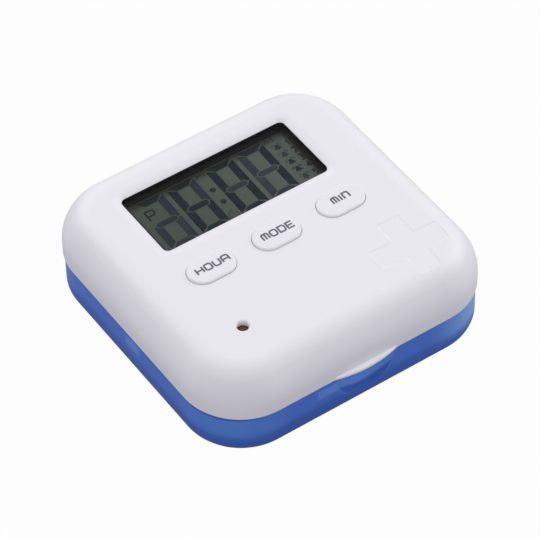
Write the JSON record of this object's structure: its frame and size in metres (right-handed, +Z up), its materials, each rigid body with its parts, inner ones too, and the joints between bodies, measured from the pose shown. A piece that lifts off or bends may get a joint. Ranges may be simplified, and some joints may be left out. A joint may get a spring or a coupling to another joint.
{
  "type": "electronic pill box",
  "caption": "Square rounded pill box with a blue divided tray and a hinged white lid that holds a clock display, push buttons, alarm light and buzzer.",
  "frame": {"origin": "centre of the closed box's outline at its flat underside", "axes": "+X to the right along the display's text, +Y to the hinge at the back, +Z up"},
  "size_m": [0.086, 0.0915, 0.0278],
  "materials": {
    "tray_blue": "translucent tinted polypropylene, satin outside",
    "lid_white": "fine satin moulded ABS",
    "cover_white": "satin moulded ABS",
    "button_white": "satin moulded ABS with printed grey words",
    "lens_clear": "clear polished acrylic window",
    "lcd_film": "grey-green polarising film",
    "lcd_glass": "thin clear glass",
    "lcd_silver": "pale green reflective film",
    "frame_black": "dark grey moulded ABS",
    "silicone_grey": "soft translucent silicone",
    "silicone_pink": "layered conductive silicone",
    "foam_black": "soft black foam",
    "board_green": "green solder mask on glass fibre",
    "carbon_black": "carbon-loaded silicone",
    "carbon_print": "printed carbon",
    "screw_steel": "zinc-plated steel",
    "pin_steel": "polished steel",
    "epoxy_black": "glossy black epoxy",
    "can_steel": "drawn steel can",
    "coil_dark": "ferrite with wound copper wire",
    "part_black": "moulded black epoxy",
    "part_tan": "tan ceramic",
    "led_amber": "amber-brown tinted clear epoxy",
    "lead_tin": "tinned steel",
    "piezo_brass": "rolled brass",
    "ceramic_white": "silvered white ceramic",
    "wire_red": "red vinyl insulation",
    "wire_black": "black vinyl insulation",
    "cell_steel": "satin nickel-plated steel",
    "contact_steel": "nickel-plated spring steel"
  },
  "bodies": {
    "tray": {"tray": "tray_blue", "hinge_pin_left": "pin_steel", "hinge_pin_right": "pin_steel"},
    "lid": {"lid_shell": "lid_white", "lid_inner_cover": "cover_white", "lid_screws": "screw_steel", "display_lens": "lens_clear", "lcd_front_polariser": "lcd_film", "lcd_front_glass": "lcd_glass", "lcd_rear_glass": "lcd_glass", "lcd_reflector": "lcd_silver", "lcd_frame": "frame_black", "zebra_connector": "silicone_pink", "foam_strip": "foam_black", "circuit_board": "board_green", "key_pads": "carbon_print", "board_screws": "screw_steel", "chip_blob": "epoxy_black", "quartz_crystal": "can_steel", "boost_coil": "coil_dark", "resistors": "part_black", "capacitors": "part_tan", "transistors": "part_black", "alarm_led": "led_amber", "led_legs": "lead_tin", "piezo_disc": "piezo_brass", "piezo_ceramic": "ceramic_white", "buzzer_lead_red": "wire_red", "buzzer_lead_black": "wire_black", "coin_cell": "cell_steel", "battery_contact_negative": "contact_steel", "battery_contact_positive": "contact_steel", "hour_dome": "silicone_grey", "mode_dome": "silicone_grey", "min_dome": "silicone_grey"},
    "battery_door": {"battery_door": "cover_white"},
    "hour_button": {"hour_button": "button_white", "hour_contact_pill": "carbon_black"},
    "mode_button": {"mode_button": "button_white", "mode_contact_pill": "carbon_black"},
    "min_button": {"min_button": "button_white", "min_contact_pill": "carbon_black"}
  },
  "joints": [
    {"name": "lid_hinge", "type": "hinge", "parent": "tray", "child": "lid", "pos_m": [0, 0.0444, 0.01375], "axis": [-1, 0, 0], "range_deg": [0, 108]},
    {"name": "battery_door_turn", "type": "hinge", "parent": "lid", "child": "battery_door", "pos_m": [0.0165, -0.017, 0.0144], "axis": [0, 0, -1], "range_deg": [0, 40]},
    {"name": "hour_press", "type": "slide", "parent": "lid", "child": "hour_button", "axis": [0, 0, -1], "range_m": [0, 0.0007], "stiffness_N_per_m": 1500, "deforming": ["hour_dome"]},
    {"name": "mode_press", "type": "slide", "parent": "lid", "child": "mode_button", "axis": [0, 0, -1], "range_m": [0, 0.0007], "stiffness_N_per_m": 1500, "deforming": ["mode_dome"]},
    {"name": "min_press", "type": "slide", "parent": "lid", "child": "min_button", "axis": [0, 0, -1], "range_m": [0, 0.0007], "stiffness_N_per_m": 1500, "deforming": ["min_dome"]}
  ]
}
